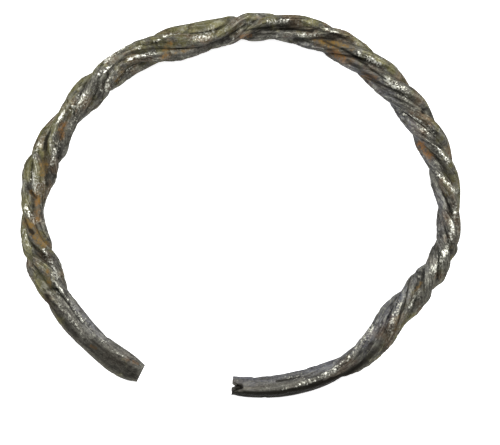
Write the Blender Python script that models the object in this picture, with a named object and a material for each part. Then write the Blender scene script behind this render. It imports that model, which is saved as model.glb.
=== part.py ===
"""A braided silver bracelet, lying flat.

Four hammered rods are twisted round each other and bent into an open ring. At both ends the
rods are forged together into a short squarish bar: one ends in a split notch, the other is
blunt. The twist turns back on itself once, and two of the rods run as a pair where it begins.

Places along the bracelet are shares of its own length, counted from the notched end. Across
it, u points out of the ring and z up. The size that can be set is at the top, in metres.
"""

import math

import bmesh
import bpy
import numpy as np

MM = 0.001

# The ring
RING_RADIUS = 29.0 * MM
RING_START = math.radians(-91.35)
RING_END = math.radians(241.1)
# How far the middle line lies from the centre, as shares of the ring's radius, at even angles
BENDS = (
    0.955, 0.990, 1.018, 1.018, 1.101, 1.080, 1.026, 0.979, 0.946,
    0.901, 0.861, 0.900, 0.937, 0.992, 1.047, 1.046, 1.034, 1.018,
)

# The rods, seen in a cut square to the ring: thick goes along the rope's skin, deep goes inwards
ROD_THICK = 1.90 * MM
ROD_DEEP = 2.56 * MM
ROD_OFFSET = 1.06 * MM
ROD_SIDES = 12
STATION = 1.45 * MM

# Each rod's place round the rope where the four are even, its place and its thickness,
# as a share, where two run as a pair
RODS = (
    (math.radians(0), math.radians(-18), 1.0),
    (math.radians(90), math.radians(18), 1.0),
    (math.radians(180), math.radians(120), 1.22),
    (math.radians(270), math.radians(240), 1.22),
)
PAIR_ENDS = (0.225, 0.300)

# The twist: how far the rope has turned at each place, in degrees. It turns back once
TWIST = (
    (0.068, -35), (0.119, 0), (0.160, 62), (0.189, 120), (0.220, 240), (0.250, 360), (0.297, 450),
    (0.334, 540), (0.371, 630), (0.407, 720), (0.453, 810), (0.488, 900), (0.538, 990), (0.564, 1080),
    (0.580, 1100), (0.598, 1080), (0.633, 1030), (0.655, 986), (0.668, 998), (0.700, 1080),
    (0.726, 1125), (0.755, 1172), (0.783, 1260), (0.815, 1305), (0.842, 1350), (0.869, 1440),
    (0.903, 1490), (0.935, 1510),
)
# How full the rope is at each place, as a share of its plain thickness
FULLNESS = (
    (0.100, 0.98), (0.130, 0.93), (0.165, 1.04), (0.237, 0.83), (0.265, 0.80), (0.300, 0.94),
    (0.410, 1.06), (0.470, 1.05), (0.517, 0.97), (0.560, 0.93), (0.617, 1.15), (0.650, 0.97),
    (0.700, 1.04), (0.728, 0.91), (0.755, 1.08), (0.783, 1.13), (0.820, 0.85), (0.860, 1.07),
    (0.900, 1.08),
)

# The forged ends. Each row is a place, a width and a height as shares of the bar's thickness,
# and how far the bar's top leans outwards, in degrees
BAR_THICK = 3.20 * MM
NOTCHED_BAR = (
    (0.000, 0.86, 0.89, -17), (0.045, 1.02, 0.97, -16), (0.085, 1.03, 1.00, -10), (0.128, 0.63, 0.66, 0),
)
BLUNT_BAR = (
    (0.870, 0.63, 0.66, 0), (0.905, 1.22, 1.09, -6), (0.950, 1.14, 1.00, -12), (0.992, 1.08, 0.94, -12),
    (1.000, 0.86, 0.75, -12),
)
BAR_SIDES = 16
BAR_SQUARENESS = 3.6
# Where the rods rise out of one bar and sink into the other, and how far they start inside
ROD_RISE = (0.070, 0.125)
ROD_SINK = (0.880, 0.945)
ROD_SUNK_SHARE = 0.30

# The split in the notched end: a V seen from above, deeper at the bar's top than at its underside
NOTCH_WIDTH = 2.2 * MM
NOTCH_TOP_DEPTH = 1.7 * MM
NOTCH_LOW_DEPTH = 0.4 * MM
NOTCH_MARGIN = 0.5 * MM

# How much of the underside is hammered flat where the bracelet rests
FLAT_DEPTH = 0.14 * MM
AXIS_HEIGHT = ROD_OFFSET + ROD_DEEP / 2 - FLAT_DEPTH

PATH_SAMPLES = 1200
CUTTER_MARGIN = 2.0 * MM
SHARP_ANGLE = math.radians(50)


def smooth(places, values, at):
    """The value at each place, on a smooth curve through the given ones."""
    places = np.asarray(places, float)
    values = np.asarray(values, float)
    at = np.clip(at, places[0], places[-1])
    slopes = np.gradient(values, places)
    i = np.clip(np.searchsorted(places, at) - 1, 0, len(places) - 2)
    gap = places[i + 1] - places[i]
    t = (at - places[i]) / gap
    start = (1 + 2 * t) * (1 - t) ** 2 * values[i] + t * (1 - t) ** 2 * gap * slopes[i]
    end = t * t * (3 - 2 * t) * values[i + 1] + t * t * (t - 1) * gap * slopes[i + 1]
    return start + end


def ease(low, high, at):
    """0 below low, 1 above high, and a soft step between."""
    t = np.clip((at - low) / (high - low), 0, 1)
    return t * t * (3 - 2 * t)


def in_rope(share):
    """1 where the rods are free of the forged ends, 0 where they are sunk in them."""
    return ease(*ROD_RISE, share) * (1 - ease(*ROD_SINK, share))


def column(rows, index):
    """One column of a table of rows."""
    return [row[index] for row in rows]


class Ring:
    """The bracelet's middle line, measured by shares of its length."""

    def __init__(self):
        angles = np.linspace(RING_START, RING_END, PATH_SAMPLES)
        bend_angles = np.linspace(RING_START, RING_END, len(BENDS))
        radii = RING_RADIUS * smooth(bend_angles, BENDS, angles)
        self.points = np.stack([radii * np.cos(angles), radii * np.sin(angles)], axis=1)
        steps = np.linalg.norm(np.diff(self.points, axis=0), axis=1)
        lengths = np.concatenate([[0], np.cumsum(steps)])
        self.length = lengths[-1]
        self.shares = lengths / self.length
        along = np.gradient(self.points, lengths, axis=0)
        along /= np.linalg.norm(along, axis=1, keepdims=True)
        self.outwards = np.stack([along[:, 1], -along[:, 0]], axis=1)

    def place(self, share, u, z):
        """A point at a share of the length, u outside the middle line and z above it."""
        at = [np.interp(share, self.shares, self.points[:, axis]) for axis in (0, 1)]
        out = [np.interp(share, self.shares, self.outwards[:, axis]) for axis in (0, 1)]
        return at[0] + out[0] * u, at[1] + out[1] * u, AXIS_HEIGHT + z


def loft(name, outlines):
    """A closed solid through a row of outlines with the same number of points."""
    shape = bmesh.new()
    loops = [[shape.verts.new(point) for point in outline] for outline in outlines]
    for near, far in zip(loops, loops[1:]):
        for k, vertex in enumerate(near):
            after = (k + 1) % len(near)
            shape.faces.new((vertex, near[after], far[after], far[k]))
    shape.faces.new(reversed(loops[0]))
    shape.faces.new(loops[-1])
    bmesh.ops.recalc_face_normals(shape, faces=shape.faces)
    mesh = bpy.data.meshes.new(name)
    shape.to_mesh(mesh)
    shape.free()
    return bpy.data.objects.new(name, mesh)


def rod(ring, name, even, paired, paired_thick):
    """One rod of the rope, from inside one forged end to inside the other."""
    first, last = ROD_RISE[0], ROD_SINK[1]
    count = round(ring.length * (last - first) / STATION)
    outlines = []
    for share in np.linspace(first, last, count):
        pairing = 1 - ease(*PAIR_ENDS, share)
        turn = math.radians(smooth(column(TWIST, 0), column(TWIST, 1), share))
        angle = turn + even + (paired - even) * pairing
        full = smooth(column(FULLNESS, 0), column(FULLNESS, 1), share)
        out = ROD_SUNK_SHARE + (1 - ROD_SUNK_SHARE) * in_rope(share)
        thick = ROD_THICK / 2 * full * out * (1 + (paired_thick - 1) * pairing)
        deep = ROD_DEEP / 2 * full * out
        offset = ROD_OFFSET * full * out
        outline = []
        for k in range(ROD_SIDES):
            round_rod = math.tau * k / ROD_SIDES
            outer = offset + deep * math.cos(round_rod)
            side = thick * math.sin(round_rod)
            u = outer * math.cos(angle) - side * math.sin(angle)
            z = outer * math.sin(angle) + side * math.cos(angle)
            outline.append(ring.place(share, u, z))
        outlines.append(outline)
    return loft(name, outlines)


def bar(ring, name, rows):
    """A forged end: a squarish bar whose underside lies level with the rope's."""
    places = column(rows, 0)
    count = max(2, round(ring.length * (places[-1] - places[0]) / STATION))
    stations = sorted(set(np.linspace(places[0], places[-1], count)) | set(places))
    outlines = []
    for share in stations:
        width, height, lean = [smooth(places, column(rows, i), share) for i in (1, 2, 3)]
        width, height, lean = width * BAR_THICK, height * BAR_THICK, math.radians(lean)
        drop = (AXIS_HEIGHT + FLAT_DEPTH - height / 2) * (1 - in_rope(share))
        outline = []
        for k in range(BAR_SIDES):
            angle = math.tau * (k + 0.5) / BAR_SIDES
            across, up = math.cos(angle), math.sin(angle)
            size = (abs(across) ** BAR_SQUARENESS + abs(up) ** BAR_SQUARENESS) ** (-1 / BAR_SQUARENESS)
            u, z = width / 2 * across * size, height / 2 * up * size
            turned = (u * math.cos(lean) + z * math.sin(lean), z * math.cos(lean) - u * math.sin(lean))
            outline.append(ring.place(share, turned[0], turned[1] - drop))
        outlines.append(outline)
    return loft(name, outlines)


def notch(ring):
    """The cutter for the split: a wedge along the bar, deeper at its top than below."""
    outlines = []
    slope = (NOTCH_TOP_DEPTH - NOTCH_LOW_DEPTH) / BAR_THICK
    for height in (-NOTCH_MARGIN, BAR_THICK + NOTCH_MARGIN):
        z = height - AXIS_HEIGHT
        depth = NOTCH_LOW_DEPTH + slope * height
        half = NOTCH_WIDTH / 2 * (depth + CUTTER_MARGIN) / depth
        end = ring.place(0, 0, z)
        along = np.subtract(ring.place(depth / ring.length, 0, z), end) / depth
        across = np.subtract(ring.place(0, 1, z), end)
        corners = [end - along * CUTTER_MARGIN + across * half * side for side in (-1, 1)]
        outlines.append([end + along * depth, *corners])
    return loft("notch", outlines)


def ground():
    """The cutter for the flats: a slab whose top is the surface that the bracelet lies on."""
    reach = RING_RADIUS * max(BENDS) + CUTTER_MARGIN + ROD_DEEP
    corners = [(-reach, -reach), (reach, -reach), (reach, reach), (-reach, reach)]
    return loft("ground", [[(x, y, z) for x, y in corners] for z in (-CUTTER_MARGIN, 0)])


def combine(body, other, operation):
    """Joins the other solid to the body, or cuts it away.

    The rods' skins run almost along each other for the rope's whole length, and the manifold
    solver is the one that joins such skins without losing faces.
    """
    step = body.modifiers.new(other.name, "BOOLEAN")
    step.operation = operation
    step.object = other
    step.solver = "MANIFOLD"


def tarnished_silver():
    """The metal: silver gone dark grey."""
    material = bpy.data.materials.new("tarnished_silver")
    material.use_nodes = True
    shader = material.node_tree.nodes["Principled BSDF"]
    shader.inputs["Base Color"].default_value = (0.13, 0.125, 0.11, 1)
    shader.inputs["Roughness"].default_value = 0.42
    shader.inputs["Metallic"].default_value = 0.85
    return material


def remove_slivers(shape):
    """Deletes all but the largest connected surface: the joins leave a pocket or two inside."""
    unseen = set(shape.verts)
    islands = []
    while unseen:
        island = [unseen.pop()]
        for vertex in island:
            for edge in vertex.link_edges:
                other = edge.other_vert(vertex)
                if other in unseen:
                    unseen.remove(other)
                    island.append(other)
        islands.append(island)
    islands.sort(key=len)
    for island in islands[:-1]:
        bmesh.ops.delete(shape, geom=island, context="VERTS")


def finish(body):
    """Applies the joins and cuts to the body, then cleans, centres, shades and colours it."""
    graph = bpy.context.evaluated_depsgraph_get()
    mesh = bpy.data.meshes.new_from_object(body.evaluated_get(graph))
    shape = bmesh.new()
    shape.from_mesh(mesh)
    remove_slivers(shape)
    bmesh.ops.triangulate(shape, faces=shape.faces)
    low = [min(vertex.co[axis] for vertex in shape.verts) for axis in range(3)]
    high = [max(vertex.co[axis] for vertex in shape.verts) for axis in range(3)]
    middle = [(low[0] + high[0]) / 2, (low[1] + high[1]) / 2, low[2]]
    bmesh.ops.translate(shape, verts=shape.verts, vec=[-value for value in middle])
    shape.to_mesh(mesh)
    shape.free()
    mesh.name = body.name
    mesh.shade_smooth()
    mesh.set_sharp_from_angle(angle=SHARP_ANGLE)
    body.modifiers.clear()
    body.data = mesh
    body.data.materials.clear()
    body.data.materials.append(tarnished_silver())


def main():
    """Builds the rods, the bars and the cutters, and makes one solid of them."""
    for old in list(bpy.data.objects):
        bpy.data.objects.remove(old)
    parts = bpy.data.collections.new("braided_bracelet")
    helpers = bpy.data.collections.new("rods_and_cutters")
    for collection in (parts, helpers):
        bpy.context.scene.collection.children.link(collection)

    ring = Ring()
    body = rod(ring, "bracelet", *RODS[0])
    parts.objects.link(body)
    joined = [rod(ring, f"rod_{i}", *row) for i, row in enumerate(RODS) if i]
    joined += [bar(ring, "notched_bar", NOTCHED_BAR), bar(ring, "blunt_bar", BLUNT_BAR)]
    steps = [(piece, "UNION") for piece in joined]
    steps += [(cutter, "DIFFERENCE") for cutter in (ground(), notch(ring))]
    for helper, operation in steps:
        helpers.objects.link(helper)
        combine(body, helper, operation)
        helper.hide_render = True
        helper.display_type = "WIRE"
    finish(body)


if __name__ == "__main__":
    main()
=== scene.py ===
"""The looks of a braided silver bracelet that lies flat on a pale table.

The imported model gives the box. The fine bracelet is lofted from the same rules as the solid:
four rods twisted round each other along an open ring, sunk into a forged bar at each end.
Places along it are shares of its length from the notched end, u points out of the ring and z
up. Sizes are in metres.
"""

import logging
import math
from dataclasses import dataclass, field
from enum import Enum
from typing import Any, Sequence

import bmesh
import bpy
import numpy as np
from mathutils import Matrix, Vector


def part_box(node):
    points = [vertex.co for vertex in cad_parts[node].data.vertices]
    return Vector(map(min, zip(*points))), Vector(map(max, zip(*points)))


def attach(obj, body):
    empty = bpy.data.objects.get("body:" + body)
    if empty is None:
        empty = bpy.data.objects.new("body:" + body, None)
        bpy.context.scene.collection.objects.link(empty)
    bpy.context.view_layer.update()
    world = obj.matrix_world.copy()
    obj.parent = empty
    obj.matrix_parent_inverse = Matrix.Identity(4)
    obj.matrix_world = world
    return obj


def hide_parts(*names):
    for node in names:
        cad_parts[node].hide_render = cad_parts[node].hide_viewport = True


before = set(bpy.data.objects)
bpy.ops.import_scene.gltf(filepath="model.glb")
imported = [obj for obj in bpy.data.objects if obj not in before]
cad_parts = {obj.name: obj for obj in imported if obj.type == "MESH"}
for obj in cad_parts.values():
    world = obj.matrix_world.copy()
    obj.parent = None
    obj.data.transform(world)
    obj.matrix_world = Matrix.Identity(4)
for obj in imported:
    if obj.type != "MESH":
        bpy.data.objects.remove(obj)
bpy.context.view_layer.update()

LOG = logging.getLogger("bracelet")
MM = 0.001
PIXEL = 0.15 * MM  # what one pixel of the picture spans; the marks are measured in it too
NODE = "bracelet"
BODY = "root"

Colour = tuple[float, float, float, float]


def smooth(places: Sequence[float], values: Sequence[float], at: Any) -> np.ndarray:
    """Reads a smooth curve through the given values.

    Args:
        places: where the values stand, rising.
        values: the values there.
        at: the place or places to read.

    Returns:
        The curve's value at each place.
    """
    places = np.asarray(places, float)
    values = np.asarray(values, float)
    at = np.clip(at, places[0], places[-1])
    slopes = np.gradient(values, places)
    i = np.clip(np.searchsorted(places, at) - 1, 0, len(places) - 2)
    gap = places[i + 1] - places[i]
    t = (at - places[i]) / gap
    start = (1 + 2 * t) * (1 - t) ** 2 * values[i] + t * (1 - t) ** 2 * gap * slopes[i]
    end = t * t * (3 - 2 * t) * values[i + 1] + t * t * (t - 1) * gap * slopes[i + 1]
    return start + end


def ease(low: float, high: float, at: Any) -> np.ndarray:
    """Gives 0 below low, 1 above high, and a soft step between."""
    t = np.clip((at - low) / (high - low), 0, 1)
    return t * t * (3 - 2 * t)


def column(rows: Sequence[Sequence[float]], index: int) -> list[float]:
    """Gives one column of a table of rows."""
    return [row[index] for row in rows]


class Signal:
    """A node's output that takes part in sums; each operator adds a Math node."""

    def __init__(self, graph: "Graph", socket: bpy.types.NodeSocket) -> None:
        """Keeps the graph and the socket."""
        self.graph = graph
        self.socket = socket

    def _math(self, operation: str, *given: Any) -> "Signal":
        """Adds one Math node."""
        return self.graph.value("ShaderNodeMath", {"operation": operation}, dict(enumerate(given)))

    def __add__(self, other: Any) -> "Signal":
        """Adds."""
        return self._math("ADD", self, other)

    def __radd__(self, other: Any) -> "Signal":
        """Adds, reflected."""
        return self._math("ADD", other, self)

    def __sub__(self, other: Any) -> "Signal":
        """Subtracts."""
        return self._math("SUBTRACT", self, other)

    def __rsub__(self, other: Any) -> "Signal":
        """Subtracts, reflected."""
        return self._math("SUBTRACT", other, self)

    def __mul__(self, other: Any) -> "Signal":
        """Multiplies."""
        return self._math("MULTIPLY", self, other)

    def __rmul__(self, other: Any) -> "Signal":
        """Multiplies, reflected."""
        return self._math("MULTIPLY", other, self)

    def __truediv__(self, other: Any) -> "Signal":
        """Divides."""
        return self._math("DIVIDE", self, other)

    def __rtruediv__(self, other: Any) -> "Signal":
        """Divides, reflected."""
        return self._math("DIVIDE", other, self)

    def __pow__(self, other: Any) -> "Signal":
        """Raises to a power."""
        return self._math("POWER", self, other)

    def sin(self) -> "Signal":
        """Gives the sine."""
        return self._math("SINE", self)

    def cos(self) -> "Signal":
        """Gives the cosine."""
        return self._math("COSINE", self)

    def whole(self) -> "Signal":
        """Gives the nearest whole number."""
        return self._math("ROUND", self)

    def wrap(self, part: Any) -> "Signal":
        """Gives what is left over a whole number of parts, from 0 to one part."""
        return self._math("FLOORED_MODULO", self, part)

    def turn(self, other: Any) -> "Signal":
        """Gives the angle of the point whose height is this and whose reach is the other."""
        return self._math("ARCTAN2", self, other)

    def rise(self, low: float, high: float) -> "Signal":
        """Gives 0 below low, 1 above high, and a soft step between."""
        return self.graph.value(
            "ShaderNodeMapRange",
            {"interpolation_type": "SMOOTHSTEP"},
            {"Value": self, "From Min": low, "From Max": high, "To Min": 0.0, "To Max": 1.0},
        )


@dataclass
class Graph:
    """A node tree under construction."""

    tree: bpy.types.NodeTree

    @staticmethod
    def socket(sockets: Any, key: Any) -> bpy.types.NodeSocket:
        """Finds a socket by number, or by name among those in use."""
        if isinstance(key, int):
            return sockets[key]
        return next(socket for socket in sockets if socket.name == key and socket.enabled)

    def add(self, kind: str, settings: dict[str, Any], sockets: dict[Any, Any]) -> bpy.types.Node:
        """Adds one node.

        Args:
            kind: the node's type.
            settings: what is set on the node first, such as a Math node's operation.
            sockets: the value or link of each input, by name or number.

        Returns:
            The node.
        """
        node = self.tree.nodes.new(kind)
        for name, setting in settings.items():
            setattr(node, name, setting)
        for key, given in sockets.items():
            target = self.socket(node.inputs, key)
            if isinstance(given, Signal):
                self.tree.links.new(given.socket, target)
            elif isinstance(given, bpy.types.NodeSocket):
                self.tree.links.new(given, target)
            else:
                target.default_value = given
        return node

    def value(
        self, kind: str, settings: dict[str, Any], sockets: dict[Any, Any], output: Any = 0
    ) -> Signal:
        """Adds one node and gives one of its outputs as a signal."""
        return Signal(self, self.socket(self.add(kind, settings, sockets).outputs, output))

    def blend(self, factor: Any, first: Any, second: Any) -> Signal:
        """Mixes two colours: the first at factor 0, the second at 1."""
        settings = {"data_type": "RGBA"}
        return self.value("ShaderNodeMix", settings, {"Factor": factor, 6: first, 7: second}, 2)

    def vector(self, operation: str, first: Any, second: Any) -> Signal:
        """Adds one Vector Math node on two vectors."""
        return self.value("ShaderNodeVectorMath", {"operation": operation}, {0: first, 1: second})

    def scaled(self, vector: Any, amount: Any) -> Signal:
        """Makes a vector longer or shorter by a number."""
        return self.value("ShaderNodeVectorMath", {"operation": "SCALE"}, {0: vector, "Scale": amount})

    def noise(self, where: Any, size: float, detail: float, rough: float, seed: Any) -> Signal:
        """Adds a noise whose blobs are about the given size in metres."""
        return self.value(
            "ShaderNodeTexNoise",
            {"noise_dimensions": "4D"},
            {"Vector": where, "W": seed, "Scale": 1 / size, "Detail": detail, "Roughness": rough},
            0,
        )

    def pits(self, where: Any, size: float, seed: Any) -> Signal:
        """Gives the distance to the nearest of many scattered points, in shares of their spacing."""
        return self.value(
            "ShaderNodeTexVoronoi",
            {"voronoi_dimensions": "4D", "feature": "F1"},
            {"Vector": where, "W": seed, "Scale": 1 / size, "Randomness": 1.0},
            0,
        )


class Forming:
    """A tree of geometry nodes with named inputs, run once on an object."""

    KINDS = {float: "NodeSocketFloat", int: "NodeSocketInt", bpy.types.Material: "NodeSocketMaterial"}

    def __init__(self, name: str, settings: dict[str, Any]) -> None:
        """Opens the tree and its inputs.

        Args:
            name: the tree's name.
            settings: each named input with its value: a float, an int or a material.
        """
        self.tree = bpy.data.node_groups.new(name, "GeometryNodeTree")
        self.graph = Graph(self.tree)
        self.settings = settings
        interface = self.tree.interface
        interface.new_socket("Geometry", in_out="OUTPUT", socket_type="NodeSocketGeometry")
        interface.new_socket("Geometry", in_out="INPUT", socket_type="NodeSocketGeometry")
        for label, given in settings.items():
            interface.new_socket(label, in_out="INPUT", socket_type=self.KINDS[type(given)])
        self.start = self.graph.add("NodeGroupInput", {}, {})

    def input(self, label: str) -> Signal:
        """Gives one of the tree's inputs."""
        return Signal(self.graph, self.start.outputs[label])

    def attribute(self, name: str, kind: str = "FLOAT") -> Signal:
        """Reads a named attribute of the geometry."""
        settings = {"data_type": kind}
        return self.graph.value("GeometryNodeInputNamedAttribute", settings, {"Name": name}, "Attribute")

    def sample(self, geometry: Any, value: Any, index: Any, kind: str = "FLOAT") -> Signal:
        """Reads a value at one point of a geometry."""
        sockets = {"Geometry": geometry, "Value": value, "Index": index}
        return self.graph.value("GeometryNodeSampleIndex", {"data_type": kind}, sockets, "Value")

    def close(self, geometry: Any) -> None:
        """Ends the tree: instances are made real and the material is set.

        Args:
            geometry: what the tree has made so far.
        """
        real = self.graph.value("GeometryNodeRealizeInstances", {}, {"Geometry": geometry})
        sockets = {"Geometry": real, "Material": self.input("Material")}
        done = self.graph.value("GeometryNodeSetMaterial", {}, sockets)
        self.graph.add("NodeGroupOutput", {}, {"Geometry": done})

    def run(self, body: bpy.types.Object) -> None:
        """Runs the tree on an object and keeps the outcome as its plain mesh.

        Args:
            body: the object.
        """
        step = body.modifiers.new(self.tree.name, "NODES")
        step.node_group = self.tree
        for item in self.tree.interface.items_tree:
            if item.name in self.settings and item.in_out == "INPUT":
                step[item.identifier] = self.settings[item.name]
        bake(body)


def bake(body: bpy.types.Object) -> None:
    """Turns an object's modifiers into its plain mesh.

    Args:
        body: the object.
    """
    graph = bpy.context.evaluated_depsgraph_get()
    mesh = bpy.data.meshes.new_from_object(body.evaluated_get(graph))
    body.modifiers.clear()
    body.data = mesh


def store(body: bpy.types.Object, name: str, values: np.ndarray) -> None:
    """Stores one number or one vector for each point of a mesh.

    Args:
        body: the object.
        name: what the values are called.
        values: one number or one row of three for each point.
    """
    values = np.asarray(values, np.float32)
    kind, key = ("FLOAT", "value") if values.ndim == 1 else ("FLOAT_VECTOR", "vector")
    layer = body.data.attributes.new(name, kind, "POINT")
    layer.data.foreach_set(key, values.ravel())


@dataclass
class Ring:
    """The bracelet's middle line, measured by shares of its length."""

    radius: float = 29.0 * MM
    start: float = math.radians(-91.35)
    end: float = math.radians(241.1)
    bends: tuple[float, ...] = (
        0.955, 0.990, 1.018, 1.018, 1.101, 1.080, 1.026, 0.979, 0.946,
        0.901, 0.861, 0.900, 0.937, 0.992, 1.047, 1.046, 1.034, 1.018,
    )
    samples: int = 1200
    overlap: float = math.radians(12)
    refinements: int = 4
    axis_height: float = 0.0
    shift: tuple[float, float] = (0.0, 0.0)

    def __post_init__(self) -> None:
        """Works out the line's points, lengths and directions."""
        angles = np.linspace(self.start, self.end, self.samples)
        bend_angles = np.linspace(self.start, self.end, len(self.bends))
        radii = self.radius * smooth(bend_angles, self.bends, angles)
        self.points = np.stack([radii * np.cos(angles), radii * np.sin(angles)], axis=1)
        steps = np.linalg.norm(np.diff(self.points, axis=0), axis=1)
        lengths = np.concatenate([[0], np.cumsum(steps)])
        self.length = float(lengths[-1])
        self.shares = lengths / self.length
        self.along = np.gradient(self.points, lengths, axis=0)
        self.along /= np.linalg.norm(self.along, axis=1, keepdims=True)
        self.out = np.stack([self.along[:, 1], -self.along[:, 0]], axis=1)
        self.angles = angles

    def read(self, rows: np.ndarray, share: np.ndarray) -> np.ndarray:
        """Reads rows of x and y, such as the line's points, at shares of the length."""
        return np.stack([np.interp(share, self.shares, rows[:, axis]) for axis in (0, 1)], axis=-1)

    def place(self, share: np.ndarray, u: np.ndarray, z: np.ndarray) -> np.ndarray:
        """Gives points in space.

        Args:
            share: shares of the length.
            u: distances outside the middle line.
            z: heights above it.

        Returns:
            One row of x, y and z for each point.
        """
        share, u, z = np.broadcast_arrays(share, u, z)
        flat = self.read(self.points, share) + self.read(self.out, share) * u[..., None] + self.shift
        return np.concatenate([flat, (self.axis_height + z)[..., None]], axis=-1)

    def locate(self, points: np.ndarray) -> tuple[np.ndarray, np.ndarray, np.ndarray]:
        """Finds the share, u and z of points in space.

        Args:
            points: rows of x, y and z.

        Returns:
            The shares, the distances outside the middle line and the heights above it.
        """
        flat = points[:, :2] - np.asarray(self.shift)
        turn = np.arctan2(flat[:, 1], flat[:, 0])
        turn = np.where(turn < self.start - self.overlap, turn + math.tau, turn)
        share = np.interp(turn, self.angles, self.shares)
        for _ in range(self.refinements):
            off = flat - self.read(self.points, share)
            share = np.clip(share + (off * self.read(self.along, share)).sum(axis=1) / self.length, 0, 1)
        off = flat - self.read(self.points, share)
        return share, (off * self.read(self.out, share)).sum(axis=1), points[:, 2] - self.axis_height


def loft(name: str, outlines: np.ndarray) -> bpy.types.Object:
    """Makes a closed solid through a row of outlines.

    Args:
        name: the object's name.
        outlines: an array of outlines by points by coordinates.

    Returns:
        The object, with its faces pointing outwards.
    """
    count, sides, _ = outlines.shape
    first = np.arange(count - 1)[:, None] * sides + np.arange(sides)
    after = np.arange(count - 1)[:, None] * sides + (np.arange(sides) + 1) % sides
    quads = np.stack([first, after, after + sides, first + sides], axis=-1).reshape(-1, 4)
    faces = [tuple(quad) for quad in quads.tolist()]
    faces.append(tuple(reversed(range(sides))))
    faces.append(tuple(range((count - 1) * sides, count * sides)))
    mesh = bpy.data.meshes.new(name)
    mesh.from_pydata(outlines.reshape(-1, 3).tolist(), [], faces)
    shape = bmesh.new()
    shape.from_mesh(mesh)
    bmesh.ops.recalc_face_normals(shape, faces=shape.faces)
    shape.to_mesh(mesh)
    shape.free()
    thing = bpy.data.objects.new(name, mesh)
    bpy.context.scene.collection.objects.link(thing)
    return thing


@dataclass
class Section:
    """The rods' places and sizes in a cut square to the ring, one row for each rod."""

    angle: np.ndarray
    offset: np.ndarray
    thick: np.ndarray
    deep: np.ndarray


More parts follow.
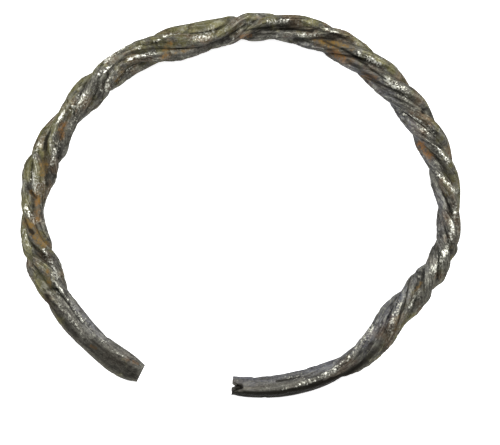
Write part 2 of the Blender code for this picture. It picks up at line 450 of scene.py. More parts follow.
@dataclass
class Rope:
    """Four hammered rods twisted round each other, sunk into a forged bar at each end."""

    thick: float = 1.90 * MM
    deep: float = 2.56 * MM
    offset: float = 1.06 * MM
    station: float = 0.17 * MM
    sides: int = 40
    rise: tuple[float, float] = (0.070, 0.125)
    sink: tuple[float, float] = (0.880, 0.945)
    sunk_share: float = 0.30
    pair_ends: tuple[float, float] = (0.225, 0.300)
    rods: tuple[tuple[float, float, float], ...] = (
        (math.radians(0), math.radians(-18), 1.0),
        (math.radians(90), math.radians(18), 1.0),
        (math.radians(180), math.radians(120), 1.22),
        (math.radians(270), math.radians(240), 1.22),
    )
    twist: tuple[tuple[float, float], ...] = (
        (0.068, -35), (0.119, 0), (0.160, 62), (0.189, 120), (0.220, 240), (0.250, 360), (0.297, 450),
        (0.334, 540), (0.371, 630), (0.407, 720), (0.453, 810), (0.488, 900), (0.538, 990), (0.564, 1080),
        (0.580, 1100), (0.598, 1080), (0.633, 1030), (0.655, 986), (0.668, 998), (0.700, 1080),
        (0.726, 1125), (0.755, 1172), (0.783, 1260), (0.815, 1305), (0.842, 1350), (0.869, 1440),
        (0.903, 1490), (0.935, 1510),
    )
    fullness: tuple[tuple[float, float], ...] = (
        (0.100, 0.98), (0.130, 0.93), (0.165, 1.04), (0.237, 0.83), (0.265, 0.80), (0.300, 0.94),
        (0.410, 1.06), (0.470, 1.05), (0.517, 0.97), (0.560, 0.93), (0.617, 1.15), (0.650, 0.97),
        (0.700, 1.04), (0.728, 0.91), (0.755, 1.08), (0.783, 1.13), (0.820, 0.85), (0.860, 1.07),
        (0.900, 1.08),
    )
    rod_shift: float = 7.0 * MM
    facets: float = 5.0
    facet_share: float = 0.85
    rib_depth: float = 0.030 * MM
    seam_depth: float = 0.15 * MM
    seam_width: float = 0.13

    def in_rope(self, share: np.ndarray) -> np.ndarray:
        """Gives 1 where the rods are free of the forged ends, 0 where they are sunk in them."""
        return ease(*self.rise, share) * (1 - ease(*self.sink, share))

    def section(self, share: np.ndarray) -> Section:
        """Works out where the rods lie and how big they are.

        Args:
            share: places along the bracelet.

        Returns:
            The rods' angles, offsets and half sizes there, a row for each rod.
        """
        even, paired, paired_thick = [np.array(column(self.rods, i))[:, None] for i in range(3)]
        pairing = 1 - ease(*self.pair_ends, share)
        turn = np.radians(smooth(column(self.twist, 0), column(self.twist, 1), share))
        full = smooth(column(self.fullness, 0), column(self.fullness, 1), share)
        out = self.sunk_share + (1 - self.sunk_share) * self.in_rope(share)
        size = full * out * np.ones_like(even)
        thick = self.thick / 2 * size * (1 + (paired_thick - 1) * pairing)
        angle = turn + even + (paired - even) * pairing
        return Section(angle, self.offset * size, thick, self.deep / 2 * size)

    def rod(self, ring: Ring, number: int, forming: "Forming") -> bpy.types.Object:
        """Forms one rod, from inside one forged end to inside the other.

        Args:
            ring: the middle line.
            number: which rod.
            forming: the rod's tree of geometry nodes.

        Returns:
            The rod as a closed solid.
        """
        first, last = self.rise[0], self.sink[1]
        count = round(ring.length * (last - first) / self.station)
        share = np.linspace(first, last, count)
        cut = self.section(share)
        angle = cut.angle[number]
        out = ring.read(ring.out, share)
        outwards = np.column_stack([out * np.cos(angle)[:, None], np.sin(angle)])
        sideways = np.column_stack([-out * np.sin(angle)[:, None], np.cos(angle)])
        still = np.zeros(count)
        middle = cut.offset[number][:, None] * outwards + ring.place(share, still, still)
        mesh = bpy.data.meshes.new(f"rod_{number}")
        mesh.from_pydata(middle.tolist(), [(i, i + 1) for i in range(count - 1)], [])
        body = bpy.data.objects.new(f"rod_{number}", mesh)
        bpy.context.scene.collection.objects.link(body)
        store(body, "outwards", outwards)
        store(body, "sideways", sideways)
        store(body, "deep", cut.deep[number])
        store(body, "thick", cut.thick[number])
        store(body, "run", share * ring.length + number * self.rod_shift)
        forming.run(body)
        return body

    def forming(self, material: bpy.types.Material) -> "Forming":
        """Builds the tree that wraps a hammered skin round a rod's middle line.

        Args:
            material: the rod's material.

        Returns:
            The tree, to be run on each rod's middle line.
        """
        tool = Forming(
            "hammered_rod",
            {
                "Sides": self.sides,
                "Facets": self.facets,
                "Facet Share": self.facet_share,
                "Rib Depth": self.rib_depth,
                "Seam Depth": self.seam_depth,
                "Seam Width": self.seam_width,
                "Seed": 5,
                "Material": material,
            },
        )
        g = tool.graph
        line = tool.input("Geometry")
        last = g.value("GeometryNodeAttributeDomainSize", {}, {"Geometry": line}, "Point Count") - 1
        sizes = {"Vertices": tool.input("Sides"), "Side Segments": last, "Radius": 1.0, "Depth": 1.0}
        tube = g.value("GeometryNodeMeshCylinder", {"fill_type": "NGON"}, sizes, "Mesh")
        here = g.value("GeometryNodeInputPosition", {}, {})
        x, y, z = [g.value("ShaderNodeSeparateXYZ", {}, {0: here}, axis) for axis in range(3)]
        station = ((z + 0.5) * last).whole()
        around = y.turn(x)
        outwards = tool.sample(line, tool.attribute("outwards", "FLOAT_VECTOR"), station, "FLOAT_VECTOR")
        sideways = tool.sample(line, tool.attribute("sideways", "FLOAT_VECTOR"), station, "FLOAT_VECTOR")
        middle = tool.sample(line, here, station, "FLOAT_VECTOR")
        deep = tool.sample(line, tool.attribute("deep"), station)
        thick = tool.sample(line, tool.attribute("thick"), station)
        run = tool.sample(line, tool.attribute("run"), station) / MM

        # Unlike wave lengths in millimetres, so that the hammering never repeats along a rod
        seed = tool.input("Seed")
        lean = (run / 7.3 + seed * 1.9).sin() * 0.6 + (run / 3.1 + seed).sin() * 0.35
        part = math.tau / tool.input("Facets")
        within = (around + lean).wrap(part) - part / 2
        plain = (part / 2).cos()
        flat = plain / within.cos() - (plain + 1) / 2
        ribs = (around * 9 + (run / 5.1 + seed).sin() * 2.2).sin()
        ribs = ribs * ((run / 4.3 + seed * 2.7).sin() * 0.5 + 0.5)
        off_seam = (around - (run / 6.1 + seed * 1.3).sin() * 0.55) / tool.input("Seam Width")
        seam = (off_seam * off_seam + 1) ** -1.5 * ((run / 8.7 + seed).sin() * 0.5 + 0.5)
        skin = flat * tool.input("Facet Share") * thick + ribs * tool.input("Rib Depth")
        skin = skin - seam * tool.input("Seam Depth")
        outer = g.scaled(outwards, (deep + skin) * around.cos())
        side = g.scaled(sideways, (thick + skin) * around.sin())
        place = g.vector("ADD", middle, g.vector("ADD", outer, side))
        shaped = g.value("GeometryNodeSetPosition", {}, {"Geometry": tube, "Position": place})
        tool.close(g.value("GeometryNodeFlipFaces", {}, {0: shaped}))
        return tool

    def near(self, share: np.ndarray, u: np.ndarray, z: np.ndarray) -> tuple[np.ndarray, ...]:
        """Finds which rod each point lies on, and how close the next rod is.

        Args:
            share: places along the bracelet.
            u: distances outside the middle line.
            z: heights above it.

        Returns:
            The rod's number, the distance across its skin, how far out on its crest the point
            lies and the gap to the next rod in shares of the rod's thickness.
        """
        cut = self.section(share)
        outer = u * np.cos(cut.angle) + z * np.sin(cut.angle) - cut.offset
        side = z * np.cos(cut.angle) - u * np.sin(cut.angle)
        reach = np.hypot(outer / cut.deep, side / cut.thick)
        order = np.argsort(reach, axis=0)
        own = order[:1]
        across = np.take_along_axis(side, own, 0)[0]
        crest = np.take_along_axis(outer / cut.deep, own, 0)[0]
        gap = np.take_along_axis(reach, order[1:2], 0)[0] - 1
        return own[0], across, crest, gap


@dataclass
class ForgedEnd:
    """A squarish bar that the rods were hammered into."""

    name: str
    rows: tuple[tuple[float, float, float, float], ...]
    thick: float = 3.20 * MM
    squareness: float = 4.6
    sides: int = 72
    station: float = 0.17 * MM

    def build(self, ring: Ring, rope: Rope, low: float) -> bpy.types.Object:
        """Lofts the bar.

        Args:
            ring: the middle line.
            rope: the rope it belongs to.
            low: how far the underside lies below the middle line.

        Returns:
            The bar as a closed solid.
        """
        places = column(self.rows, 0)
        count = max(2, round(ring.length * (places[-1] - places[0]) / self.station))
        share = np.linspace(places[0], places[-1], count)[:, None]
        width, height, lean = [smooth(places, column(self.rows, i), share) for i in (1, 2, 3)]
        width, height, lean = width * self.thick, height * self.thick, np.radians(lean)
        drop = (low - height / 2) * (1 - rope.in_rope(share))
        angle = math.tau * (np.arange(self.sides)[None, :] + 0.5) / self.sides
        across, up = np.cos(angle), np.sin(angle)
        size = (np.abs(across) ** self.squareness + np.abs(up) ** self.squareness) ** (-1 / self.squareness)
        u, z = width / 2 * across * size, height / 2 * up * size
        turned_u = u * np.cos(lean) + z * np.sin(lean)
        turned_z = z * np.cos(lean) - u * np.sin(lean)
        return loft(self.name, ring.place(share, turned_u, turned_z - drop))


class Cut(Enum):
    """How one solid changes another."""

    JOIN = "UNION"
    REMOVE = "DIFFERENCE"


def combine(body: bpy.types.Object, others: Sequence[tuple[bpy.types.Object, Cut]]) -> None:
    """Joins or cuts solids, and deletes what was used.

    Args:
        body: the solid that stays.
        others: each other solid, with what it does.
    """
    for other, cut in others:
        step = body.modifiers.new(other.name, "BOOLEAN")
        step.operation = cut.value
        step.object = other
        step.solver = "MANIFOLD"
    bake(body)
    for other, _ in others:
        bpy.data.objects.remove(other)


@dataclass(frozen=True)
class Stroke:
    """A soft straight mark on the bracelet, from one point to another, in pixels."""

    s_from: float
    u_from: float
    s_to: float
    u_to: float
    reach: float
    strength: float

    def weigh(self, s: np.ndarray, u: np.ndarray) -> np.ndarray:
        """Gives the mark's weight at each point.

        Args:
            s: distances along the bracelet, in pixels.
            u: distances outside the middle line, in pixels.

        Returns:
            The weights, greatest on the stroke's line.
        """
        s_gap, u_gap = self.s_to - self.s_from, self.u_to - self.u_from
        length = max(s_gap * s_gap + u_gap * u_gap, 1e-9)
        t = np.clip(((s - self.s_from) * s_gap + (u - self.u_from) * u_gap) / length, 0, 1)
        far = np.hypot(s - self.s_from - t * s_gap, u - self.u_from - t * u_gap) / self.reach
        return self.strength * np.exp(-far * far)


def strokes(*rows: tuple[float, ...]) -> tuple[Stroke, ...]:
    """Makes a stroke of each row of s and u from, s and u to, reach and strength."""
    return tuple(Stroke(*row) for row in rows)


@dataclass(frozen=True)
class Marks:
    """Everything that time and the hammer left at one place only, and the shade painted at places."""

    # Bright ridges
    worn: tuple[Stroke, ...] = strokes(
        (96, -1, 124, -4, 2.4, 0.45), (122, -4, 166, -13, 2.2, 0.6), (172, 3, 197, -6, 4.0, 0.6),
        (203, 5, 222, 0, 2.2, 1.0), (245, -1, 272, 1, 3.4, 0.9), (268, 2, 312, 5, 2.4, 0.9),
        (327, 8, 346, -6, 2.2, 0.75), (357, 7, 372, 2, 2.4, 0.75), (385, 5, 410, -4, 1.5, 0.95),
        (410, -4, 420, -10, 1.4, 0.6), (388, 7, 396, 5, 1.6, 0.5), (434, 4, 458, 0, 3.2, 0.95),
        (446, 0, 457, -1, 1.6, 1.1), (471, 7, 495, 2, 2.4, 1.0), (519, 10, 534, 9, 1.6, 0.7),
        (540, -1, 560, -6, 1.8, 0.5), (570, 8, 590, 4, 2.2, 0.7), (607, 4, 611, 2, 1.6, 0.9),
        (614, 3, 628, -11, 1.2, 0.55), (645, 2, 664, 1, 3.4, 0.75), (677, 10, 693, 9, 1.8, 0.85),
        (697, 7, 705, 6, 1.4, 0.6), (704, -4, 732, 1, 1.7, 0.95), (731, 15, 752, 12, 2.0, 0.95),
        (716, 7, 720, 6, 1.4, 0.8), (750, 5, 764, 6, 2.2, 0.8), (764, -7, 770, -9, 1.5, 0.7),
        (790, 3, 808, 0, 3.2, 0.85), (815, 6, 827, 6, 1.5, 0.9), (843, -5, 868, -9, 2.2, 0.6),
        (852, 11, 866, 9, 2.0, 0.7), (880, 7, 900, -2, 2.8, 0.95), (914, 7, 930, -3, 2.8, 0.95),
        (935, 10, 952, 7, 1.8, 0.7), (958, -6, 990, -10, 2.2, 0.8), (985, -6, 1004, -4, 2.4, 0.7),
        (1000, -7, 1042, -7, 1.8, 0.68), (1040, -7, 1075, -6, 1.8, 0.42), (1006, 2, 1056, 1, 2.0, 0.34),
        (1080, -6, 1100, -7, 2.0, 0.28), (50, 3, 50, -3, 1.2, 0.3), (46, 4, 84, 3, 1.4, 0.5),
        (55, -7, 72, -6, 1.4, 0.5), (66, 1, 106, 0, 2.8, 0.6), (735, -6, 890, -7, 3.6, 0.30),
        (735, 0, 890, 0, 3.0, 0.20), (345, 0, 495, 0, 3.0, 0.20), (508, -6, 552, -6, 3.0, 0.25),
    )
    # Brown and ochre soil
    soil: tuple[Stroke, ...] = strokes(
        (366, -8, 384, -12, 4.2, 1.2), (466, -7, 480, -11, 4.0, 0.9), (498, -8, 520, -10, 4.4, 0.9),
        (503, 4, 518, 0, 4.0, 0.7), (514, 2, 534, -5, 2.0, 0.7), (520, -4, 540, -6, 3.6, 0.5),
        (609, -8, 618, -10, 3.2, 0.9), (668, -8, 684, -10, 3.2, 0.6), (688, -1, 698, -8, 6.0, 0.9),
        (745, -5, 756, -9, 4.0, 0.7), (824, -1, 836, -5, 5.0, 0.75), (868, -1, 880, -3, 4.0, 0.8),
        (898, 2, 905, -5, 4.0, 0.9), (904, -4, 926, -5, 3.2, 0.9), (928, 5, 952, -7, 5.6, 1.25),
        (980, -2, 992, 0, 3.4, 0.7), (448, 13, 468, 13, 3.6, 0.4), (208, -1, 228, -3, 3.2, 0.6),
        (1100, -6, 1114, -8, 3.0, 0.7), (172, 6, 200, -5, 4.5, 0.38), (846, -4, 896, -6, 4.0, 0.35),
        (846, 6, 872, 3, 3.0, 0.30), (510, -7, 550, -8, 3.5, 0.35), (956, 0, 1000, 1, 3.0, 0.35),
        (1066, 4, 1071, 3, 1.6, 1.4), (530, 9, 552, 2, 2.0, 0.5), (176, 8, 186, 2, 3.0, 0.4),
    )
    # Where the soil is redder
    copper: tuple[Stroke, ...] = strokes(
        (364, -8, 386, -12, 5.0, 1.0), (386, -1, 392, -2, 3.0, 0.6), (468, -7, 520, -11, 5.0, 0.5),
        (609, -8, 618, -10, 4.0, 0.8), (686, -2, 700, -8, 7.0, 0.2), (824, -1, 836, -5, 6.0, 0.35),
        (900, -2, 926, -5, 5.0, 0.3), (1063, 4, 1074, 3, 3.0, 0.3), (1100, -6, 1114, -8, 4.0, 0.9),
    )
    # Painted shade: black in the grooves and holes, and on the sides and faces turned from the light
    dark: tuple[Stroke, ...] = strokes(
        (0, 8, 98, 7, 2.6, 1.0), (98, 6, 118, 9, 2.0, 0.7), (12, 4, 90, 4, 1.0, 0.8),
        (0, 0, 9, -1, 2.6, 1.5), (45, -6, 70, -6, 1.0, 1.0), (75, -3, 92, -1, 0.9, 0.7),
        (122, 8, 156, 8, 3.5, 0.35), (60, -9, 80, -8, 0.9, 0.5), (118, 7, 176, 3, 4.4, 0.62),
        (167, -4, 182, -12, 1.6, 0.45), (372, 6, 400, -10, 1.8, 0.7), (410, 7, 411, 7, 2.2, 1.0),
        (420, 2, 446, -8, 1.8, 0.7), (458, -1, 532, -3, 1.6, 0.9), (505, 9, 545, 5, 2.2, 0.8),
        (518, -9, 560, -9, 2.4, 0.7), (546, 2, 577, -1, 2.0, 1.1), (586, -2, 613, -4, 1.4, 0.8),
        (588, 1, 606, 0, 3.0, 0.3), (582, -7, 602, -9, 1.8, 0.8), (600, 8, 618, -6, 1.4, 0.6),
        (625, -9, 650, -9, 2.0, 0.6), (640, 4, 646, -5, 1.6, 0.6), (700, -9, 745, -2, 1.4, 0.6),
        (738, 4, 752, 8, 1.6, 0.5), (838, 8, 856, 5, 1.8, 0.8), (807, 1, 812, -5, 1.4, 0.6),
        (895, 8, 904, -3, 1.6, 0.8), (937, 2, 939, 1, 2.0, 1.5), (925, 8, 936, 4, 1.8, 0.8),
        (1000, -3, 1020, -6, 1.2, 0.8), (1020, -6, 1044, -5, 1.1, 0.6), (1001, -4, 996, 4, 1.6, 0.8),
        (1004, 8, 1048, 8, 4.8, 0.7), (1062, 5, 1116, 4, 7.0, 0.75), (765, 12, 790, 8, 1.4, 0.4),
        (868, 5, 876, 0, 1.4, 0.5), (958, 9, 1002, 8, 3.0, 0.5), (634, 9, 688, 11, 4.0, 0.28),
        (450, -9, 500, -9, 3.2, 0.75), (960, -9, 1116, -9, 3.0, 0.25), (285, -8, 385, -9, 3.0, 0.28),
        (1066, -1, 1116, -2, 3.4, 0.4),
    )
    # Ridges that stand out
    raised: tuple[Stroke, ...] = strokes(
        (98, -1, 166, -13, 2.4, 0.5), (327, 8, 348, -10, 3.0, 0.5), (385, 5, 420, -10, 1.8, 0.7),
        (614, 3, 628, -11, 1.8, 0.8), (537, 9, 550, -1, 2.2, 0.6), (690, -3, 697, -7, 5.0, 0.8),
        (880, 7, 900, -2, 3.4, 0.6), (914, 7, 930, -3, 3.4, 0.6), (1004, -8, 1042, -8, 2.4, 0.6),
        (704, -4, 732, 1, 2.0, 0.5), (938, -2, 950, -8, 4.0, 0.4), (434, 4, 458, 0, 3.2, 0.3),
    )
    # Grooves that the hammer closed
    closed: tuple[Stroke, ...] = strokes(
        (120, 3, 164, -4, 4.0, 1.0), (130, 6, 178, 0, 4.5, 0.8), (226, 8, 244, 0, 4.0, 0.6),
        (174, -1, 207, -8, 3.2, 0.9), (736, 4, 768, 3, 3.0, 0.5), (630, 4, 668, 6, 3.0, 0.5),
    )

    @staticmethod
    def total(group: Sequence[Stroke], s: np.ndarray, u: np.ndarray) -> np.ndarray:
        """Adds up the weights of some strokes at points s along and u out."""
        return sum((stroke.weigh(s, u) for stroke in group), np.zeros_like(u))


@dataclass(frozen=True)
class TarnishedSilver:
    """Silver gone dark, worn bright and pitted on the crests, with soil in the hollows and painted shade in
    the hollows and on the sides.
    """

    dark: Colour = (0.080, 0.076, 0.066, 1)
    olive: Colour = (0.118, 0.110, 0.051, 1)
    brown: Colour = (0.118, 0.082, 0.052, 1)
    blue: Colour = (0.096, 0.100, 0.124, 1)
    black: Colour = (0.010, 0.009, 0.007, 1)
    grey: Colour = (0.20, 0.197, 0.160, 1)
    bright: Colour = (0.46, 0.455, 0.385, 1)
    spark: Colour = (0.92, 0.92, 0.83, 1)
    rust: Colour = (0.195, 0.088, 0.022, 1)
    ochre: Colour = (0.160, 0.096, 0.018, 1)
    tan: Colour = (0.20, 0.150, 0.090, 1)
    tarnish_metallic: float = 0.85
    bump: float = 0.95
    bump_depth: float = 0.07 * MM
    rim: Colour = (0.30, 0.30, 0.27, 1)
    rim_level: float = 0.35
    patch_size: float = 2.6 * MM
    cloud_size: float = 6.0 * MM
    tint_size: float = 3.4 * MM
    grain_size: float = 0.55 * MM
    fine_size: float = 0.28 * MM
    streak_size: float = 0.42 * MM
    pit_size: float = 0.42 * MM
    furrow_size: float = 0.50 * MM
    scratch_size: float = 0.44 * MM

    def make(self) -> bpy.types.Material:
        """Builds the material."""
        material = bpy.data.materials.new("tarnished_silver")
        material.use_nodes = True
        tree = material.node_tree
        tree.nodes.clear()
        g = Graph(tree)
        here = g.add("ShaderNodeTexCoord", {}, {}).outputs["Object"]
        worn, soil, copper, hollow, dark, crest, cool, flank, forged = [
            g.value("ShaderNodeAttribute", {"attribute_name": name}, {}, "Fac")
            for name in ("worn", "soil", "copper", "hollow", "dark", "crest", "cool", "flank", "forged")
        ]
        strand = g.value("ShaderNodeAttribute", {"attribute_name": "strand"}, {}, "Vector")
        patch = g.noise(here, self.patch_size, 4, 0.6, 1.0)
        cloud = g.noise(here, self.cloud_size, 3, 0.5, 2.0)
        tint = g.noise(here, self.tint_size, 3, 0.6, 7.0)
        grain = g.noise(here, self.grain_size, 4, 0.7, 3.0)
        fine = g.noise(here, self.fine_size, 3, 0.7, 4.0)
        streak = g.noise(strand, self.streak_size, 3, 0.65, 5.0)
        pits = g.pits(here, self.pit_size, 6.0)
        furrow = g.noise(strand, self.furrow_size, 2, 0.5, 8.0) - 0.5
        scratch = g.noise(strand, self.scratch_size, 2, 0.5, 9.0) - 0.5

        # Tarnish: olive, brown and bluish patches, streaked grey and black
        metal = g.blend((patch + cool * 0.20 + forged * 0.15).rise(0.46, 0.60), self.olive, self.dark)
        metal = g.blend((tint + streak * 0.2).rise(0.58, 0.74) * (0.8 - forged * 0.7), metal, self.brown)
        # The bluish tint inside and on the sides is partly a painted reflection of the pale surroundings
        bluish = cloud * 0.6 + cool * 0.50 + (streak - 0.5) * 0.6 + flank * 0.10 - 0.06
        metal = g.blend(bluish.rise(0.50, 0.95), metal, self.blue)
        mottle = streak * 0.50 + fine * 1.0 + grain * 0.10
        metal = g.blend(mottle.rise(0.72, 1.00) * (0.5 + worn * 0.5 - forged * 0.15), metal, self.grey)
        metal = g.blend(mottle.rise(0.76, 0.54) * 0.72, metal, self.black)
        metal = g.blend((scratch * scratch).rise(0.0010, 0.0) * (0.45 - forged * 0.2), metal, self.grey)
        metal = g.blend((furrow * furrow).rise(0.0014, 0.0) * (0.55 - forged * 0.2), metal, self.black)

        # Wear: bright, pitted metal on the crests
        speckle = (streak - 0.5) * 1.3 + (grain - 0.5) * 1.4 + (fine - 0.5) * 2.8
        speckle = speckle - pits.rise(0.50, 0.10) * 0.35
        shine = (worn * 0.58 + crest * 0.08 + speckle - 0.28).rise(0.0, 0.45) * worn.rise(-0.35, 0.45)
        metal = g.blend(shine * (1 - dark.rise(0.3, 0.9)), metal, self.bright)
        sparkle = (worn * 0.45 + speckle * 1.5 - 0.60).rise(0.0, 0.30) * worn.rise(0.15, 0.7)
        metal = g.blend(sparkle, metal, self.spark)

        # Soil: crumbs of rust, ochre and tan
        dirt = (soil + hollow * soil * 0.5 + (grain - 0.5) * 2.2 + (patch - 0.5) * 1.2).rise(0.28, 1.25)
        dirt = dirt * soil.rise(0.04, 0.40) * (0.25 + fine * 0.6 + grain * 0.5).rise(0.0, 0.9)
        earth = g.blend((patch * 0.5 + grain * 0.8 + copper * 0.6).rise(0.60, 1.05), self.ochre, self.rust)
        earth = g.blend((cloud * 0.5 + streak * 0.6).rise(0.54, 0.74) * 0.7, earth, self.tan)
        crumbs = (fine * 0.5 + grain * 0.7).rise(0.70, 0.46)
        earth = g.blend(crumbs * 0.8, earth, self.dark)
        colour = g.blend(dirt * (0.72 + fine * 0.4), metal, earth)

        # Painted shade: black in the hollows between rods and on the steep sides, then the roughness and
        # relief of the skin
        shade = (hollow * 0.70 + flank * 0.42 + (grain - 0.5) * 0.5).rise(0.15, 1.10)
        colour = g.blend(shade * (1 - dirt * 0.4), colour, self.black)
        # Painted shade from the dark marks: black grooves, holes and shaded sides
        colour = g.blend(dark.rise(0.05, 1.05) * 0.93, colour, self.black)
        rough = 0.40 + (1 - grain) * 0.16 + dirt * 0.40 - shine * 0.10
        height = grain * 0.9 + fine * 0.95 + streak * 0.8 + pits.rise(0.0, 0.45) * 0.5 * worn.rise(0.1, 0.6)
        bump = g.value(
            "ShaderNodeBump", {}, {"Strength": self.bump, "Distance": self.bump_depth, "Height": height}
        )
        metallic = (1 - dirt) * (1 - shade * 0.5) * self.tarnish_metallic
        sockets = {
            "Base Color": colour,
            "Roughness": rough,
            "Metallic": metallic,
            "Normal": bump,
            "Specular IOR Level": self.rim_level,
            "Specular Tint": self.rim,
        }
        shader = g.value("ShaderNodeBsdfPrincipled", {}, sockets)
        g.add("ShaderNodeOutputMaterial", {}, {"Surface": shader})
        return material


@dataclass
class Bracelet:
    """The whole bracelet: rope, forged ends, notch, flats and its worn skin."""

    ring: Ring = field(default_factory=Ring)
    rope: Rope = field(default_factory=Rope)
    marks: Marks = field(default_factory=Marks)
    finish: TarnishedSilver = field(default_factory=TarnishedSilver)
    flat_depth: float = 0.14 * MM
    notch_depth: float = 1.7 * MM
    notch_low_depth: float = 0.4 * MM
    notch_margin: float = 0.5 * MM
    notch_width: float = 2.2 * MM
    margin: float = 2.0 * MM
    relief_depth: float = 0.16 * MM
    dent_depth: float = 0.11 * MM
    dent_size: float = 1.3 * MM
    furrow_depth: float = 0.05 * MM
    furrow_size: float = 0.55 * MM
    pit_depth: float = 0.10 * MM
    pit_size: float = 0.55 * MM
    strand_shift: float = 9.0 * MM
    bar_shift: float = 50.0 * MM
    strand_stretch: float = 0.12
    shaded_side: float = 0.8
    notched_end: ForgedEnd = field(
        default_factory=lambda: ForgedEnd(
            "notched_end",
            (
                (0.000, 0.86, 0.89, -17),
                (0.045, 1.02, 0.97, -16),
                (0.085, 1.03, 1.00, -10),
                (0.128, 0.63, 0.66, 0),
            ),
        )
    )
    blunt_end: ForgedEnd = field(
        default_factory=lambda: ForgedEnd(
            "blunt_end",
            (
                (0.870, 0.63, 0.66, 0),
                (0.905, 1.22, 1.09, -6),
                (0.950, 1.14, 1.00, -12),
                (0.992, 1.08, 0.94, -12),
                (1.000, 0.86, 0.75, -12),
            ),
        )
    )

    def notch(self) -> bpy.types.Object:
        """Makes the cutter for the split: a wedge along the bar, deeper at the top than below."""
        outlines = []
        thick = self.notched_end.thick
        slope = (self.notch_depth - self.notch_low_depth) / thick
        for height in (-self.notch_margin, thick + self.notch_margin):
            z = height - self.ring.axis_height
            depth = self.notch_low_depth + slope * height
            half = self.notch_width / 2 * (depth + self.margin) / depth
            end = self.ring.place(0, 0, z)
            along = (self.ring.place(depth / self.ring.length, 0, z) - end) / depth
            across = self.ring.place(0, 1, z) - end
            corners = [end - along * self.margin + across * half * side for side in (-1, 1)]
            outlines.append([end + along * depth, *corners])
        return loft("notch", np.array(outlines))

    def ground(self) -> bpy.types.Object:
        """Makes the cutter for the flats: a slab up to the table's top."""
        reach = 3 * self.ring.radius
        corners = np.array([(-reach, -reach), (reach, -reach), (reach, reach), (-reach, reach)])
        slab = [np.column_stack([corners, np.full(4, z)]) for z in (-self.margin, 0.0)]
        return loft("ground", np.array(slab))

    def build(self) -> bpy.types.Object:
        """Builds the fine bracelet.

        Returns:
            The bracelet's object, as a plain mesh.
        """
        reach = self.rope.offset + self.rope.deep / 2
        self.ring.axis_height = reach - self.flat_depth
        material = self.finish.make()
        forming = self.rope.forming(material)
        rods = [self.rope.rod(self.ring, i, forming) for i in range(len(self.rope.rods))]
        body = rods[0]
        body.name = "braided_bracelet"
        others = [(rod, Cut.JOIN) for rod in rods[1:]]
        others.append((self.notched_end.build(self.ring, self.rope, reach), Cut.JOIN))
        others.append((self.blunt_end.build(self.ring, self.rope, reach), Cut.JOIN))
        others.append((self.notch(), Cut.REMOVE))
        others.append((self.ground(), Cut.REMOVE))
        combine(body, others)
        self.centre(body)
        self.mark(body)
        self.weathering(material).run(body)
        return body

    def centre(self, body: bpy.types.Object) -> None:
        """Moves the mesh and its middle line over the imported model's box.

        Args:
            body: the fine bracelet.
        """
        low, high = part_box(NODE)
        points = self.points(body)
        middle = (points.min(axis=0) + points.max(axis=0)) / 2
        shift = np.array([(low[axis] + high[axis]) / 2 - middle[axis] for axis in (0, 1)])
        points[:, :2] += shift
        body.data.vertices.foreach_set("co", points.ravel())
        self.ring.shift = (float(shift[0]), float(shift[1]))

    @staticmethod
    def points(body: bpy.types.Object) -> np.ndarray:
        """Gives the mesh's points as rows."""
        flat = np.empty(len(body.data.vertices) * 3)
        body.data.vertices.foreach_get("co", flat)
        return flat.reshape(-1, 3)

    def mark(self, body: bpy.types.Object) -> None:
        """Stores how worn, soiled and sunken each point is, how much shade is painted on it, and how the
        skin runs there.

        Args:
            body: the fine bracelet.
        """
        share, u, z = self.ring.locate(self.points(body))
        own, across, crest, gap = self.rope.near(share, u, z)
        roped = self.rope.in_rope(share)
        forged = 1 - roped
        run = share * self.ring.length
        s, u_px = run / PIXEL, u / PIXEL
        normals = np.empty(len(body.data.vertices) * 3)
        body.data.vertex_normals.foreach_get("vector", normals)
        rises = normals.reshape(-1, 3)[:, 2]
        top = ease(-0.3, 0.15, rises)
        worn, soil, copper, dark, raised, closed = [
            Marks.total(group, s, u_px) * top
            for group in (
                self.marks.worn, self.marks.soil, self.marks.copper,
                self.marks.dark, self.marks.raised, self.marks.closed,
            )
        ]
        closed = np.clip(closed, 0, 1)

        # The notched end's outer side lies in shade
        dark = dark + self.shaded_side * ease(4.5, 6.0, u_px) * (1 - ease(100, 125, s))

        # Olive towards the outside and past the top, bluish inside and on the bars; the bluish inner side
        # is a painted reflection of the pale surroundings, the rest is the tarnish's own tone
        cool = 0.90 - 0.28 * ease(500, 620, s) - 0.42 * ease(-11, 3, u_px)
        cool = cool - (0.12 + 0.18 * ease(400, 520, s)) * ease(5, 10, u_px) + forged * 0.15 + closed * 0.20

        filled = closed * 1.2 * (1 - ease(0.0, 0.45, gap))
        on_rod = across + own * self.strand_shift
        on_bar = u + z * 0.5 + self.bar_shift
        flow = np.where(roped > 0.5, on_rod, on_bar)
        for name, values in (
            # Painted shade between the rods
            ("hollow", (1 - ease(0.02, 0.30, gap)) * roped * (1 - closed)),
            ("crest", ease(0.2, 1.0, crest) * roped),
            ("worn", worn),
            ("soil", soil + 0.25 * (1 - top)),
            ("copper", copper),
            ("dark", dark),
            # Painted shade on the sides, darker the steeper they are
            ("flank", 1 - ease(0.05, 0.80, rises)),
            ("forged", forged),
            ("cool", cool),
            ("relief", raised + filled - np.clip(dark, 0, 1.2) * (1 - closed)),
        ):
            store(body, name, np.clip(values, -1.5, 1.5))
        store(body, "strand", np.column_stack([run * self.strand_stretch, flow, z * 0.1]))

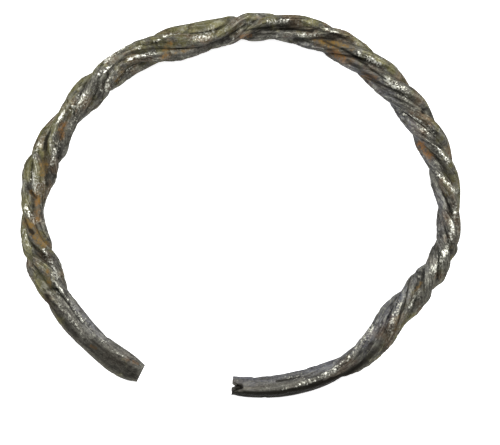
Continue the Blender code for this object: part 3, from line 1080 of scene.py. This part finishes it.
    def weathering(self, material: bpy.types.Material) -> Forming:
        """Builds the tree that dents, furrows and pits the skin.

        Args:
            material: the bracelet's material.

        Returns:
            The tree.
        """
        tool = Forming(
            "weathered_skin",
            {
                "Relief Depth": self.relief_depth,
                "Dent Depth": self.dent_depth,
                "Furrow Depth": self.furrow_depth,
                "Pit Depth": self.pit_depth,
                "Seed": 3,
                "Material": material,
            },
        )
        g = tool.graph
        skin = tool.input("Geometry")
        seed = tool.input("Seed")
        here = g.value("GeometryNodeInputPosition", {}, {})
        normal = g.value("GeometryNodeInputNormal", {}, {})
        strand = tool.attribute("strand", "FLOAT_VECTOR")
        dents = g.noise(here, self.dent_size, 2, 0.5, seed).rise(0.50, 0.30)
        furrows = g.noise(strand, self.furrow_size, 2, 0.6, seed + 1).rise(0.55, 0.35)
        pits = g.pits(here, self.pit_size, seed + 2).rise(0.42, 0.10)
        worn = tool.attribute("worn").rise(0.1, 0.7)
        sunk = dents * tool.input("Dent Depth") + furrows * tool.input("Furrow Depth")
        sunk = sunk + pits * tool.input("Pit Depth") * (worn * 0.8 + 0.2)
        lift = tool.attribute("relief") * tool.input("Relief Depth") - sunk
        moved = g.value("GeometryNodeSetPosition", {}, {"Geometry": skin, "Offset": g.scaled(normal, lift)})
        tool.close(moved)
        return tool


@dataclass
class Studio:
    """The pale table, the soft lights and the camera straight above."""

    image: tuple[int, int] = (500, 445)
    middle: tuple[float, float] = (240.5, 206.0)
    height: float = 0.55
    table_size: float = 3.0
    table_tone: Colour = (0.93, 0.93, 0.93, 1)
    table_glow: float = 0.70
    sky_glow: float = 0.60
    white: Colour = (1, 1, 1, 1)
    lamp_size: float = 0.16
    lamps: tuple[tuple[str, tuple[float, float, float], float], ...] = (
        ("left_light", (-0.45, 0.25, 0.60), 3.6),
        ("right_light", (0.42, 0.32, 0.62), 5.4),
    )
    sensor: float = 36.0
    nearest: float = 0.01

    def build(self) -> None:
        """Builds table, lights and camera."""
        self.table()
        self.lights()
        self.camera()

    def table(self) -> None:
        """Lays the pale table."""
        half = self.table_size / 2
        corners = [(-half, -half, 0), (half, -half, 0), (half, half, 0), (-half, half, 0)]
        mesh = bpy.data.meshes.new("table")
        mesh.from_pydata(corners, [], [(0, 1, 2, 3)])
        table = bpy.data.objects.new("table", mesh)
        bpy.context.scene.collection.objects.link(table)
        material = bpy.data.materials.new("table_white")
        material.use_nodes = True
        shader = material.node_tree.nodes["Principled BSDF"]
        shader.inputs["Base Color"].default_value = self.table_tone
        shader.inputs["Roughness"].default_value = 0.9
        shader.inputs["Emission Color"].default_value = self.white
        shader.inputs["Emission Strength"].default_value = self.table_glow
        mesh.materials.append(material)

    def lights(self) -> None:
        """Hangs the soft lights and whitens the surroundings."""
        world = bpy.data.worlds.new("studio")
        bpy.context.scene.world = world
        world.use_nodes = True
        world.node_tree.nodes["Background"].inputs["Color"].default_value = self.white
        world.node_tree.nodes["Background"].inputs["Strength"].default_value = self.sky_glow
        for name, place, power in self.lamps:
            data = bpy.data.lights.new(name, "AREA")
            data.size = self.lamp_size
            data.energy = power
            light = bpy.data.objects.new(name, data)
            light.location = place
            light.rotation_euler = (-Vector(place)).to_track_quat("-Z", "Y").to_euler()
            bpy.context.scene.collection.objects.link(light)

    def camera(self) -> None:
        """Hangs the camera straight above, framed as the photograph is."""
        data = bpy.data.cameras.new("camera")
        data.sensor_width = self.sensor
        data.lens = self.sensor * self.height / (self.image[0] * PIXEL)
        data.clip_start = self.nearest
        camera = bpy.data.objects.new("camera", data)
        off_x = (self.image[0] / 2 - self.middle[0]) * PIXEL
        off_y = -(self.image[1] / 2 - self.middle[1]) * PIXEL
        camera.location = (off_x, off_y, self.height)
        bpy.context.scene.collection.objects.link(camera)
        bpy.context.scene.camera = camera


def main() -> None:
    """Builds the scene in order."""
    logging.basicConfig(level=logging.INFO, format="%(message)s")
    bpy.context.scene.view_settings.view_transform = "Standard"
    Studio().build()
    body = Bracelet().build()
    body.data.shade_smooth()
    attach(body, BODY)
    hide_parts(NODE)
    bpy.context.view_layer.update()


if __name__ == "__main__":
    main()
